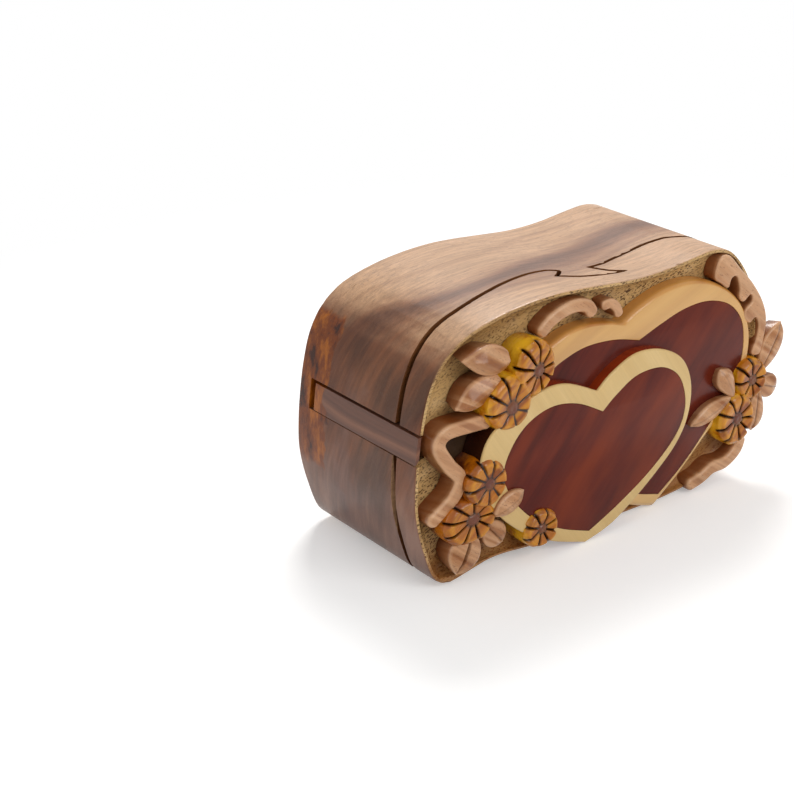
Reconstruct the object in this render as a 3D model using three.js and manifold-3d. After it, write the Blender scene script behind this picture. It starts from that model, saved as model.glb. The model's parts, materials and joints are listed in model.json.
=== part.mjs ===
// Carved puzzle box: a block of wood sawn into a body and a sliding front lid,
// with a dovetail shaped saw cut, a hidden key bar and carved hearts and flowers.
//
// Millimetres. +X runs along the length (to the right seen from the front), the
// carved front faces -Y, +Z is up. Pieces are laid out with y = 0 on the front rim
// and z = 0 on the lowest edge of the block; the finished group is then centred.
import * as THREE from 'three';
import { mergeVertices } from 'three/addons/utils/BufferGeometryUtils.js';
import Module from 'manifold-3d';

// Driving dimensions of the block
const BLOCK_LENGTH = 164.4;
const BLOCK_HEIGHT = 97.3;
const BLOCK_DEPTH = 76;
const PANEL_THICKNESS = 7.8;
const EDGE_ROUND = 1.6;
const OUTLINE_SIDES = 80;

// Where the one facet of a rounded edge starts, as a share of the round
const FACET_SHARE = 0.3;

// Clearances
const GLUE_LINE = 0.3;
const SAW_CUT = 1;
const CUT_FLARE = 0.9;
const CUT_FLARE_START = -10;
const KEY_SIDE_GAP = 0.3;

// Dished front of the lid
const RIM_ROUND = 0.9;
const RIM_WIDTH = 1.2;
const DISH_DEPTH = 5;
const COVE_WIDTH = 6;
const COVE_STEPS = 4;

// Storage space inside the body
const END_WALL = 17;
const FLOOR_WALL = 13;
const ROOF_WALL = 16;
const SPACE_CORNER = 13;

// Key bar and the two key slots
const SLOT_HEIGHT = 11.6;
const SLOT_DEPTH = 7;
const KEY_HEIGHT = 10.2;
const KEY_REAR_GAP = 3;
const KEY_RAMP_LENGTH = 22;

// How far the left end is set back at the height of its slot
const LEFT_END_SETBACK = 1.5;

// Heights of the carved faces in front of the rim
const REAR_HEART_RISE = 1.5;
const FRONT_HEART_RISE = 6.5;
const OVERLAY_SEAT = 2.5;
const PANEL_STEP = 0.3;
const FRONT_BORDER_ROUND = 1;
const REAR_BORDER_ROUND = 2;
const PANEL_ROUND = 0.5;
const LEAF_ROUND = 1.2;
const RIBBON_ROUND = 0.8;
const VEIN_WIDTH = 1.2;

const FAR = 60;

// The silhouette, the saw cut and the carving are drawn on a block of this size.
// They spread with the block.
const DRAWN_LENGTH = 164.4;
const DRAWN_HEIGHT = 97.3;
const DRAWN_DEPTH = 76;
const SPREAD_X = BLOCK_LENGTH / DRAWN_LENGTH;
const SPREAD_Y = BLOCK_DEPTH / DRAWN_DEPTH;
const SPREAD_Z = BLOCK_HEIGHT / DRAWN_HEIGHT;

// Heights at which the key slots are cut
const LEFT_SLOT_BOTTOM = 49.5 * SPREAD_Z;
const RIGHT_SLOT_BOTTOM = 33.5 * SPREAD_Z;

const wasm = await Module();
wasm.setup();

const point = (x, z) => new THREE.Vector2(x, z);
const frontSpot = ([x, z]) => point(x * SPREAD_X, z * SPREAD_Z);
const topSpot = ([x, y]) => point(x * SPREAD_X, y * SPREAD_Y);

// Closed smooth outline through a few points
function smoothLoop(corners, steps) {
  const spots = corners.map(frontSpot).map((p) => new THREE.Vector3(p.x, p.y, 0));
  const closed = new THREE.CatmullRomCurve3(spots, true, 'centripetal');
  return closed.getPoints(steps * corners.length).slice(0, -1).map((p) => point(p.x, p.y));
}

// Closed outline of smooth stretches that meet at sharp corners
function corneredLoop(stretches, steps, spot = frontSpot) {
  const points = [];
  for (const stretch of stretches) {
    const curve = new THREE.SplineCurve(stretch.map(spot));
    points.push(...curve.getPoints(steps * (stretch.length - 1)).slice(0, -1));
  }
  return points;
}

// Moves every point of a loop outwards by a distance, or inwards by a negative one
function expand(loop, distance) {
  const turn = Math.sign(THREE.ShapeUtils.area(loop));
  return loop.map((here, i) => {
    const before = loop[(i + loop.length - 1) % loop.length];
    const after = loop[(i + 1) % loop.length];
    const first = here.clone().sub(before).normalize();
    const second = after.clone().sub(here).normalize();
    const normal = point((first.y + second.y) * turn, -(first.x + second.x) * turn);
    const along = normal.length();
    const stretch = Math.min(2 / along, 1.6);
    return here.clone().add(normal.multiplyScalar(distance * stretch / along));
  });
}

function solid(geometry) {
  const bare = new THREE.BufferGeometry();
  bare.setAttribute('position', geometry.getAttribute('position'));
  if (geometry.index) bare.setIndex(geometry.index);
  const merged = mergeVertices(bare, 1e-5);
  const mesh = new wasm.Mesh({
    numProp: 3,
    vertProperties: new Float32Array(merged.getAttribute('position').array),
    triVerts: new Uint32Array(merged.index.array),
  });
  return new wasm.Manifold(mesh);
}

// The piece itself, without the slivers that a cut can leave beside it
function largestPart(shape) {
  return shape.decompose().reduce((a, b) => (a.volume() > b.volume() ? a : b));
}

function geometryOf(shape) {
  const mesh = largestPart(shape).getMesh();
  const geometry = new THREE.BufferGeometry();
  geometry.setAttribute('position', new THREE.BufferAttribute(mesh.vertProperties, 3));
  geometry.setIndex(new THREE.BufferAttribute(mesh.triVerts, 1));
  return geometry;
}

// Straight prism of an outline in the front view, from one depth to a deeper one
function prism(loop, front, back) {
  const geometry = new THREE.ExtrudeGeometry(new THREE.Shape(loop), {
    depth: back - front, bevelEnabled: false, steps: 1,
  });
  geometry.rotateX(Math.PI / 2);
  geometry.translate(0, back, 0);
  return solid(geometry);
}

// Upright prism of an outline in the top view, running through the whole height
function uprightPrism(loop) {
  const geometry = new THREE.ExtrudeGeometry(new THREE.Shape(loop), {
    depth: 4 * FAR, bevelEnabled: false, steps: 1,
  });
  geometry.translate(0, 0, -FAR);
  return solid(geometry);
}

function block(x0, x1, y0, y1, z0, z1) {
  const geometry = new THREE.BoxGeometry(x1 - x0, y1 - y0, z1 - z0);
  geometry.translate((x0 + x1) / 2, (y0 + y1) / 2, (z0 + z1) / 2);
  return solid(geometry);
}

// Closed solid through rings of equal count, the rearmost ring first, each ring
// running anticlockwise as seen from the front
function skin(rings) {
  const n = rings[0].length;
  const positions = rings.flat().flatMap((p) => [p.x, p.y, p.z]);
  const faces = [];
  for (let s = 0; s + 1 < rings.length; s += 1) {
    for (let k = 0; k < n; k += 1) {
      const a = s * n + k;
      const b = s * n + ((k + 1) % n);
      faces.push(a, b, a + n, b, b + n, a + n);
    }
  }
  const last = (rings.length - 1) * n;
  const cap = THREE.ShapeUtils.triangulateShape(rings[0].map((p) => point(p.x, p.z)), []);
  for (const [a, b, c] of cap) {
    faces.push(a, c, b);
    faces.push(last + a, last + b, last + c);
  }
  const geometry = new THREE.BufferGeometry();
  geometry.setAttribute('position', new THREE.Float32BufferAttribute(positions, 3));
  geometry.setIndex(faces);
  return solid(geometry);
}

const atDepth = (loop, y) => loop.map((p) => new THREE.Vector3(p.x, y, p.y));

// Flat backed piece with a rounded front edge
function carved(outline, front, back, round) {
  const loop = THREE.ShapeUtils.isClockWise(outline) ? [...outline].reverse() : outline;
  return skin([
    atDepth(loop, back),
    atDepth(loop, front + round),
    atDepth(expand(loop, -FACET_SHARE * round), front + FACET_SHARE * round),
    atDepth(expand(loop, -round), front),
  ]);
}

// Silhouette of the block in the front view
const BLOCK_OUTLINE = smoothLoop([
  [-68.7, 0], [-74.6, 3], [-79.6, 16.8], [-82, 31], [-81.4, 43], [-79.6, 55],
  [-77.2, 66], [-73.6, 76.5], [-67.8, 85], [-59.1, 91.2], [-47, 94.8], [-33, 96.8],
  [-19, 97.3], [-6, 96.4], [8, 94.7], [22, 93.3], [36, 93.3], [50, 94.6],
  [60, 95], [68, 92.3], [75, 84.6], [79.6, 75], [82, 63], [82.3, 51],
  [81.2, 38], [78.4, 23.5], [72.6, 11.2], [61.5, 4.2], [47.4, 1.2], [32, 0],
  [17, 0.2], [3, 0.4], [-12, 0.2], [-23, 0.6], [-35.6, 2.2], [-47.6, 3.2], [-59, 2],
], 4);
const BLOCK_CENTRE = frontSpot([0, 48]);
const BLOCK_LEFT = Math.min(...BLOCK_OUTLINE.map((p) => p.x));
const BLOCK_RIGHT = Math.max(...BLOCK_OUTLINE.map((p) => p.x));
const BLOCK_TOP = Math.max(...BLOCK_OUTLINE.map((p) => p.y));

// Shortest distance from a point to a closed outline
function distanceToLoop(p, loop) {
  let nearest = Infinity;
  const line = new THREE.Line3();
  const probe = new THREE.Vector3(p.x, p.y, 0);
  const closest = new THREE.Vector3();
  loop.forEach((a, i) => {
    const b = loop[(i + 1) % loop.length];
    line.set(new THREE.Vector3(a.x, a.y, 0), new THREE.Vector3(b.x, b.y, 0));
    line.closestPointToPoint(probe, true, closest);
    nearest = Math.min(nearest, closest.distanceTo(probe));
  });
  return nearest;
}

// The silhouette drawn in by a distance, as one point on each of a fan of rays.
// Points that the inner corners pull too close to the silhouette are left out.
const KEPT_SHARE = 0.97;

function insetRing(distance) {
  const moved = expand(BLOCK_OUTLINE, -distance)
    .filter((p) => distanceToLoop(p, BLOCK_OUTLINE) > distance * KEPT_SHARE - 1e-6);
  const ring = [];
  for (let k = 0; k < OUTLINE_SIDES; k += 1) {
    const angle = (2 * Math.PI * k) / OUTLINE_SIDES;
    const ray = point(Math.cos(angle), Math.sin(angle));
    let reach = 0;
    moved.forEach((a, i) => {
      const b = moved[(i + 1) % moved.length];
      const p = a.clone().sub(BLOCK_CENTRE);
      const edge = b.clone().sub(a);
      const det = ray.x * edge.y - ray.y * edge.x;
      if (Math.abs(det) < 1e-9) return;
      const along = (p.x * edge.y - p.y * edge.x) / det;
      const share = (p.x * ray.y - p.y * ray.x) / det;
      if (along > 0 && share >= 0 && share <= 1) reach = Math.max(reach, along);
    });
    ring.push(BLOCK_CENTRE.clone().add(ray.multiplyScalar(reach)));
  }
  return ring;
}

// Solid through drawn in silhouettes, each given by how far it is drawn in and its
// depth, the frontmost first
function loft(stations) {
  return skin(stations.map(([distance, y]) => atDepth(insetRing(distance), y)).reverse());
}

// Saw cut between lid and body seen from above: from the left end to the right end,
// with a dovetail tongue of the body reaching forward in the middle
const CUT_START = [-110, 12];
const CUT_END = [110, 11];
const CUT_PATH = corneredLoop([
  [CUT_START, [-80, 13.6], [-60, 16.4], [-43, 18], [-19, 22.4], [-9, 24], [-2, 24]],
  [[-2, 24], [1.6, 21.6], [-0.4, 18.8], [-3.2, 16.6]],
  [[-3.2, 16.6], [3.5, 12.7], [12, 10.6], [23.5, 9.6]],
  [[23.5, 9.6], [18.8, 13.6], [15.2, 20.2]],
  [[15.2, 20.2], [22, 21], [31, 23.1], [44, 24.4], [54, 23.2], [63, 20.4], [82, 13.4], CUT_END],
], 3, topSpot);
CUT_PATH.push(topSpot(CUT_END));

// The lid's side of the cut: towards the left end the cut grows wider
const LID_CUT_PATH = CUT_PATH.map((p) => {
  const share = (CUT_FLARE_START - p.x) / (CUT_FLARE_START - BLOCK_LEFT);
  return point(p.x, p.y - CUT_FLARE * Math.max(share, 0));
});

// What lies on one side of the saw cut, back to half the width of the cut
function sideOfCut(path, farY) {
  const last = path[path.length - 1];
  const region = [...path, point(last.x, farY), point(path[0].x, farY)];
  return uprightPrism(expand(region, -SAW_CUT / 2));
}

// Storage space with rounded corners
const SPACE_LEFT = BLOCK_LEFT + END_WALL;
const SPACE_RIGHT = BLOCK_RIGHT - END_WALL;
const SPACE_TOP = BLOCK_TOP - ROOF_WALL;
const BODY_BACK = BLOCK_DEPTH - PANEL_THICKNESS - GLUE_LINE;

function spaceOutline() {
  const r = SPACE_CORNER;
  const shape = new THREE.Shape();
  shape.absarc(SPACE_RIGHT - r, FLOOR_WALL + r, r, -Math.PI / 2, 0);
  shape.absarc(SPACE_RIGHT - r, SPACE_TOP - r, r, 0, Math.PI / 2);
  shape.absarc(SPACE_LEFT + r, SPACE_TOP - r, r, Math.PI / 2, Math.PI);
  shape.absarc(SPACE_LEFT + r, FLOOR_WALL + r, r, Math.PI, 1.5 * Math.PI);
  return shape.getPoints(5);
}

const LEFT_SLOT_WALL = BLOCK_LEFT + SLOT_DEPTH + LEFT_END_SETBACK;
const RIGHT_SLOT_WALL = BLOCK_RIGHT - SLOT_DEPTH;

function keySlots() {
  const left = block(-2 * FAR, LEFT_SLOT_WALL, -FAR, BODY_BACK + FAR,
    LEFT_SLOT_BOTTOM, LEFT_SLOT_BOTTOM + SLOT_HEIGHT);
  const right = block(RIGHT_SLOT_WALL, 2 * FAR, -FAR, BODY_BACK + FAR,
    RIGHT_SLOT_BOTTOM, RIGHT_SLOT_BOTTOM + SLOT_HEIGHT);
  return left.add(right);
}

function makeBody() {
  return loft([[0, 0], [0, BODY_BACK]])
    .intersect(sideOfCut(CUT_PATH, 3 * FAR))
    .subtract(prism(spaceOutline(), -FAR, 2 * FAR))
    .subtract(keySlots());
}

function makeBackPanel() {
  return loft([
    [0, BODY_BACK + GLUE_LINE],
    [0, BLOCK_DEPTH - EDGE_ROUND],
    [EDGE_ROUND * FACET_SHARE, BLOCK_DEPTH - EDGE_ROUND * FACET_SHARE],
    [EDGE_ROUND, BLOCK_DEPTH],
  ]);
}

// The hollowed front of the lid: a narrow rim, then a cove down to a flat floor,
// drawn in on every side by a gap
function dishStations(gap) {
  const stations = [[RIM_WIDTH + gap, -FAR]];
  for (let k = 0; k <= COVE_STEPS; k += 1) {
    const angle = (Math.PI / 2) * (k / COVE_STEPS);
    const inset = RIM_WIDTH + COVE_WIDTH * (1 - Math.cos(angle));
    stations.push([inset + gap, DISH_DEPTH * Math.sin(angle) - gap]);
  }
  return stations;
}

function makeLid() {
  return loft([
    [RIM_ROUND, 0],
    [RIM_ROUND * FACET_SHARE, RIM_ROUND * FACET_SHARE],
    [0, RIM_ROUND],
    [0, 2 * FAR],
  ])
    .intersect(sideOfCut(LID_CUT_PATH, -FAR))
    .subtract(keySlots())
    .subtract(loft(dishStations(0)));
}

// The key fills the left slot and shares the lid's hollowed front. Its hidden
// front underside is ramped.
function makeKey() {
  const bottom = LEFT_SLOT_BOTTOM + KEY_SIDE_GAP;
  const inner = LEFT_SLOT_WALL - KEY_SIDE_GAP;
  const bar = loft([[0, EDGE_ROUND / 2], [0, BODY_BACK - KEY_REAR_GAP]])
    .intersect(block(-2 * FAR, inner, -FAR, 2 * FAR, bottom, bottom + KEY_HEIGHT));
  const run = inner - BLOCK_LEFT - LEFT_END_SETBACK;
  const ramp = [
    point(inner + 1, bottom + run + 1),
    point(inner - run, bottom),
    point(inner - run, bottom - 2),
    point(inner + 1, bottom - 2),
  ];
  return bar.subtract(prism(ramp, -1, KEY_RAMP_LENGTH)).subtract(loft(dishStations(0)));
}

const FLOOR_Y = DISH_DEPTH - GLUE_LINE;

// The space that the lid's rim and cove take up, with the glue line around it
function rimSpace() {
  const frame = prism(expand(BLOCK_OUTLINE, GLUE_LINE), -GLUE_LINE, FAR);
  const well = dishStations(GLUE_LINE);
  well.push([RIM_WIDTH + COVE_WIDTH + GLUE_LINE, 2 * FAR]);
  return frame.subtract(loft(well));
}
const RIM_SPACE = rimSpace();

// Hearts: outer edge and inner edge, each from the tip round to the tip
const FRONT_HEART_OUTER = corneredLoop([
  [[-10.5, -1.2], [-26.7, 4.9], [-41, 14], [-52.5, 26.5], [-58, 40], [-54.6, 53],
    [-44.3, 60.4], [-30, 65.6], [-18, 65.2], [-3.8, 58.3]],
  [[-3.8, 58.3], [3.6, 63.5], [15, 67.6], [27.6, 65.8], [38, 59], [42.4, 48],
    [40.9, 35.3], [35.2, 25.4], [25.5, 16.8], [14.1, 8.8], [2, 2], [-10.5, -1.2]],
], 2);
const FRONT_HEART_INNER = corneredLoop([
  [[-8.6, 3], [-22.1, 8.6], [-35, 17.2], [-44, 28], [-47.6, 39], [-43.4, 48.6],
    [-35.6, 55.5], [-24.7, 58.4], [-13, 56], [-1.5, 49.5]],
  [[-1.5, 49.5], [5.1, 54.2], [15.1, 59], [27, 58.8], [35.4, 53.4], [39, 44.6],
    [38.4, 35.6], [33, 27.2], [21.2, 17.8], [6, 9.4], [-8.6, 3]],
], 2);
const REAR_HEART_OUTER = corneredLoop([
  [[27.2, -1.2], [10, 6], [-12, 24], [-30, 46], [-33.5, 64], [-27.5, 75], [-16.4, 81],
    [-5.2, 82.6], [5.6, 81], [12.8, 78.6]],
  [[12.8, 78.6], [21.1, 82.7], [34.6, 86.4], [49, 86], [61.7, 81], [72, 72],
    [77.6, 60], [77.4, 48], [73, 37], [65.4, 28.4], [54.6, 19.1], [42.8, 9.4], [27.2, -1.2]],
], 2);
const REAR_HEART_INNER = corneredLoop([
  [[30.4, 3.4], [14, 10], [-8, 28], [-24, 48], [-27, 60], [-22, 68.6], [-14, 72.4],
    [-4, 74.3], [9, 73.2], [20.6, 69.8]],
  [[20.6, 69.8], [31, 73.2], [43, 76.2], [55, 76.2], [66, 72], [72.6, 64],
    [74, 54], [72, 44], [67, 35], [58, 26], [46.9, 15.4], [39.8, 9.6], [30.4, 3.4]],
], 2);

function heartBorder(outer, inner, rise, round) {
  return carved(outer, -rise, FLOOR_Y, round).subtract(prism(inner, -FAR, FAR));
}

function heartPanel(inner, rise) {
  const loop = expand(inner, -GLUE_LINE);
  return carved(loop, PANEL_STEP - rise, FLOOR_Y, PANEL_ROUND);
}

// Flowers: petal blocks with grooves between the petals and a raised button
const FLOWER_RINGS = [0.22, 0.34, 0.8, 1];
const SIDES_PER_PETAL = 6;
const GROOVE_DEPTH = 1.7;
const BUTTON_SINK = 0.6;
const FLOWER_DIP = 2.4;
const PETAL_DROOP = 1.6;

// Reach of the notches between the petals, as a share of the petals' reach
const PETAL_NOTCH = 0.87;

function flowerOutline(flower) {
  const centre = frontSpot([flower.x, flower.z]);
  const count = flower.petals * SIDES_PER_PETAL;
  const loop = [];
  for (let k = 0; k < count; k += 1) {
    const angle = (2 * Math.PI * k) / count;
    const lobe = Math.abs(Math.cos((angle * flower.petals) / 2));
    const reach = PETAL_NOTCH + (1 - PETAL_NOTCH) * Math.sqrt(lobe);
    loop.push(point(
      centre.x + flower.wide * SPREAD_X * reach * Math.cos(angle),
      centre.y + flower.high * SPREAD_Z * reach * Math.sin(angle),
    ));
  }
  return loop;
}

function flowerSolid(flower) {
  const centre = frontSpot([flower.x, flower.z]);
  const outline = flowerOutline(flower);
  const rings = FLOWER_RINGS.map((share) => outline.map((p, k) => {
    const lobe = Math.abs(Math.cos((k / SIDES_PER_PETAL) * Math.PI));
    const onButton = share === FLOWER_RINGS[0];
    const groove = onButton ? 0 : GROOVE_DEPTH * (1 - Math.sqrt(lobe)) * (1 - 0.35 * share);
    const dip = onButton ? BUTTON_SINK : FLOWER_DIP * (1 - share) ** 2;
    const droop = share === 1 ? PETAL_DROOP : 0;
    return new THREE.Vector3(
      centre.x + (p.x - centre.x) * share,
      groove + dip + droop - flower.rise,
      centre.y + (p.y - centre.y) * share,
    );
  }));
  return skin([atDepth(outline, FLOOR_Y), ...rings.reverse()]);
}

const FLOWERS = [
  { name: 'flower_upper_left', x: -44.2, z: 65.4, wide: 10.2, high: 10.4, rise: 8.4, petals: 7 },
  { name: 'flower_top_left', x: -32, z: 75, wide: 9.6, high: 10.4, rise: 8, petals: 8 },
  { name: 'flower_middle_left', x: -55.4, z: 38, wide: 9, high: 9.2, rise: 8.4, petals: 8 },
  { name: 'flower_lower_left', x: -62.4, z: 25, wide: 11.6, high: 9, rise: 7.4, petals: 7 },
  { name: 'flower_bottom', x: -32, z: 12.4, wide: 7.6, high: 7.4, rise: 9, petals: 6 },
  { name: 'flower_right_upper', x: 76, z: 39, wide: 7.9, high: 8.4, rise: 5.6, petals: 8 },
  { name: 'flower_right_lower', x: 68, z: 24.6, wide: 9.4, high: 10.4, rise: 6.4, petals: 9 },
];

// Leaves: pointed ovals with a cut vein
function leafOutline(leaf) {
  const base = frontSpot(leaf.base);
  const tip = frontSpot(leaf.tip);
  const axis = tip.clone().sub(base);
  const side = point(-axis.y, axis.x).normalize().multiplyScalar(0.5 * leaf.width * SPREAD_X);
  const belly = base.clone().addScaledVector(axis, leaf.belly);
  const shoulder = base.clone().addScaledVector(axis, 0.86);
  const loop = [];
  for (const sign of [1, -1]) {
    const edge = new THREE.CubicBezierCurve(
      base.clone().addScaledVector(side, sign * 0.25),
      belly.clone().addScaledVector(side, sign * 1.9),
      shoulder.clone().addScaledVector(side, sign * 0.9),
      tip,
    ).getPoints(8);
    loop.push(...(sign > 0 ? edge.slice(0, -1) : edge.reverse().slice(0, -1)));
  }
  loop.push(base.clone().addScaledVector(side, -0.25));
  return loop;
}

function leafSolid(leaf) {
  const body = carved(leafOutline(leaf), -leaf.rise, FLOOR_Y, LEAF_ROUND);
  const base = frontSpot(leaf.base);
  const tip = frontSpot(leaf.tip);
  const groove = new THREE.CylinderGeometry(VEIN_WIDTH, VEIN_WIDTH, base.distanceTo(tip) * 0.8, 4);
  groove.rotateZ(Math.atan2(tip.y - base.y, tip.x - base.x) - Math.PI / 2);
  groove.rotateX(Math.PI / 2);
  const middle = base.lerp(tip, 0.5);
  groove.translate(middle.x, -leaf.rise, middle.y);
  return body.subtract(solid(groove));
}

const LEAVES = [
  { name: 'leaf_top_left', base: [-44.6, 82], tip: [-62.6, 85.4], width: 10, belly: 0.42, rise: 6 },
  { name: 'leaf_upper_left', base: [-47.6, 75.6], tip: [-65.4, 67.6], width: 9, belly: 0.62, rise: 4.6 },
  { name: 'leaf_middle_left', base: [-52.9, 24.9], tip: [-39.3, 30.5], width: 7.2, belly: 0.45, rise: 8 },
  { name: 'leaf_lower_left', base: [-55.8, 21.4], tip: [-47, 10.9], width: 9.4, belly: 0.6, rise: 4.6 },
  { name: 'leaf_bottom_left', base: [-60.7, 19.6], tip: [-68, 4.6], width: 13, belly: 0.45, rise: 4.4 },
  { name: 'leaf_heart_upper', base: [66.4, 35], tip: [59.4, 47.6], width: 7.6, belly: 0.78, rise: 4.6 },
  { name: 'leaf_heart_lower', base: [65, 34.6], tip: [44.6, 28.2], width: 6.6, belly: 0.5, rise: 4.4 },
  { name: 'leaf_right_upper', base: [83, 39.6], tip: [94.4, 57.4], width: 9.6, belly: 0.55, rise: 2 },
  { name: 'leaf_right_middle', base: [79.6, 36], tip: [91.4, 31], width: 8.8, belly: 0.7, rise: 3.4 },
  { name: 'leaf_right_lower', base: [80.4, 33], tip: [77.6, 16.4], width: 8.4, belly: 0.6, rise: 4 },
];

// Ribbons: bands of even width along a winding line, or a drawn outline
const RIBBON_STEPS = 3;

function ribbonOutline(ribbon) {
  if (ribbon.edge) {
    return smoothLoop(ribbon.edge, RIBBON_STEPS);
  }
  const line = new THREE.SplineCurve(ribbon.line.map(frontSpot));
  const steps = RIBBON_STEPS * (ribbon.line.length - 1);
  const left = [];
  const right = [];
  for (let k = 0; k <= steps; k += 1) {
    const here = line.getPoint(k / steps);
    const along = line.getTangent(k / steps);
    const side = point(-along.y, along.x).multiplyScalar(0.5 * ribbon.width * SPREAD_X);
    left.push(here.clone().add(side));
    right.push(here.clone().sub(side));
  }
  return [...left, ...right.reverse()];
}

const RIBBONS = [
  {
    name: 'ribbon_left',
    rise: 4.4,
    width: 5.6,
    line: [[-50, 59.6], [-60, 60.4], [-69.5, 60.4], [-73, 56], [-69, 48], [-64.4, 41.4],
      [-67.4, 35.4], [-73, 31.6], [-79, 28]],
  },
  {
    name: 'ribbon_top',
    rise: 2,
    width: 5.2,
    line: [[-26, 84], [-20, 88.6], [-11, 91], [-3.8, 89.6], [-0.8, 85]],
  },
  {
    name: 'ribbon_top_short',
    rise: 1.6,
    width: 3.8,
    line: [[3, 87.4], [7.4, 87.6], [10.4, 85], [11.4, 81.4]],
  },
  {
    name: 'ribbon_right_upper',
    rise: 2,
    edge: [[58.4, 84.2], [59, 88], [61, 91.6], [65, 92], [72.1, 84.6], [78.8, 76.9],
      [84.2, 67.9], [86, 61], [85, 54], [82.4, 47], [78.6, 48], [81, 54], [81.8, 59.5],
      [80, 62.8], [77, 61.4], [74, 64.6], [74.4, 67.4], [78.2, 70.4], [77.4, 73],
      [73.4, 71], [71.4, 73], [71.4, 77], [69.4, 82.4], [67, 82], [65.4, 78.8], [61.6, 81.4]],
  },
  {
    name: 'ribbon_right_lower',
    rise: 3,
    width: 5.4,
    line: [[73.4, 15.4], [71, 10], [65, 6.4], [58, 6], [52, 3.6], [44.6, 2.2]],
  },
];

// Materials
const paint = (colour, roughness) => () => new THREE.MeshStandardMaterial({
  color: colour, roughness, metalness: 0,
});
const blockWood = paint(0xb38a68, 0.42);
const panelWood = paint(0x9a5f1c, 0.4);
const keyWood = paint(0x7a5a46, 0.45);
const lidWood = paint(0xa58c5f, 0.5);
const honeyWood = paint(0xd7a55f, 0.32);
const creamWood = paint(0xe1c890, 0.32);
const darkWood = paint(0x6e3228, 0.28);
const petalWood = paint(0xcd8c1e, 0.35);
const leafWood = paint(0xbe8c69, 0.4);

const group = new THREE.Group();
const pieces = new THREE.Group();
group.add(pieces);

function place(name, shape, material) {
  const mesh = new THREE.Mesh(geometryOf(shape), material());
  mesh.name = name;
  pieces.add(mesh);
}

place('box_body', makeBody(), blockWood);
place('back_panel', makeBackPanel(), panelWood);
place('lid', makeLid(), lidWood);
place('key_bar', makeKey(), keyWood);

// Everything in front of a depth inside an outline, with the glue line around it
const above = (loop, depth) => prism(expand(loop, GLUE_LINE), -2 * FAR, depth);
const below = (loop, depth) => prism(expand(loop, GLUE_LINE), depth, 2 * FAR);

// Flowers and leaves in the order in which they lie, the uppermost first
const overlays = [
  ...FLOWERS.map((flower) => ({
    name: flower.name, outline: flowerOutline(flower), shape: flowerSolid(flower), wood: petalWood,
  })),
  ...LEAVES.map((leaf) => ({
    name: leaf.name, outline: leafOutline(leaf), shape: leafSolid(leaf), wood: leafWood,
  })),
];

overlays.forEach((piece, rank) => {
  let shape = piece.shape.subtract(RIM_SPACE);
  overlays.slice(0, rank).forEach((upper) => {
    shape = shape.subtract(above(upper.outline, FAR));
  });
  shape = shape.subtract(below(FRONT_HEART_OUTER, -OVERLAY_SEAT - GLUE_LINE));
  shape = shape.subtract(below(REAR_HEART_OUTER, -REAR_HEART_RISE - GLUE_LINE));
  place(piece.name, shape, piece.wood);
});

function underOverlays(shape, depth) {
  return overlays.reduce(
    (rest, upper) => rest.subtract(above(upper.outline, depth)),
    shape,
  );
}

const frontBorder = heartBorder(FRONT_HEART_OUTER, FRONT_HEART_INNER,
  FRONT_HEART_RISE, FRONT_BORDER_ROUND);
const frontPanel = heartPanel(FRONT_HEART_INNER, FRONT_HEART_RISE);
const rearBorder = heartBorder(REAR_HEART_OUTER, REAR_HEART_INNER,
  REAR_HEART_RISE, REAR_BORDER_ROUND);
const rearPanel = heartPanel(REAR_HEART_INNER, REAR_HEART_RISE);
const frontHeartSpace = above(FRONT_HEART_OUTER, FAR);

// The pieces of the hearts: each solid without what lies over it
const frontPart = (shape) => underOverlays(shape.subtract(RIM_SPACE), -OVERLAY_SEAT);
const rearPart = (shape) => shape.subtract(RIM_SPACE).subtract(frontHeartSpace);
place('front_heart_border', frontPart(frontBorder), creamWood);
place('front_heart_panel', frontPart(frontPanel), darkWood);
place('rear_heart_border', rearPart(rearBorder), honeyWood);
place('rear_heart_panel', rearPart(rearPanel), darkWood);

for (const ribbon of RIBBONS) {
  const band = carved(ribbonOutline(ribbon), -ribbon.rise, FLOOR_Y, RIBBON_ROUND)
    .subtract(RIM_SPACE)
    .subtract(frontHeartSpace)
    .subtract(above(REAR_HEART_OUTER, FAR));
  place(ribbon.name, underOverlays(band, FAR), leafWood);
}

// The origin is the middle of the foot of the finished box
const bounds = new THREE.Box3().setFromObject(pieces);
const middle = bounds.getCenter(new THREE.Vector3());
pieces.position.set(-middle.x, -middle.y, -bounds.min.z);

export default group;
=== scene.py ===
"""Looks of the carved puzzle box: woods, carving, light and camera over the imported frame."""
import json
import math
import random

import bmesh
import bpy
import numpy as np
from mathutils import Matrix, Vector, geometry

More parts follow.
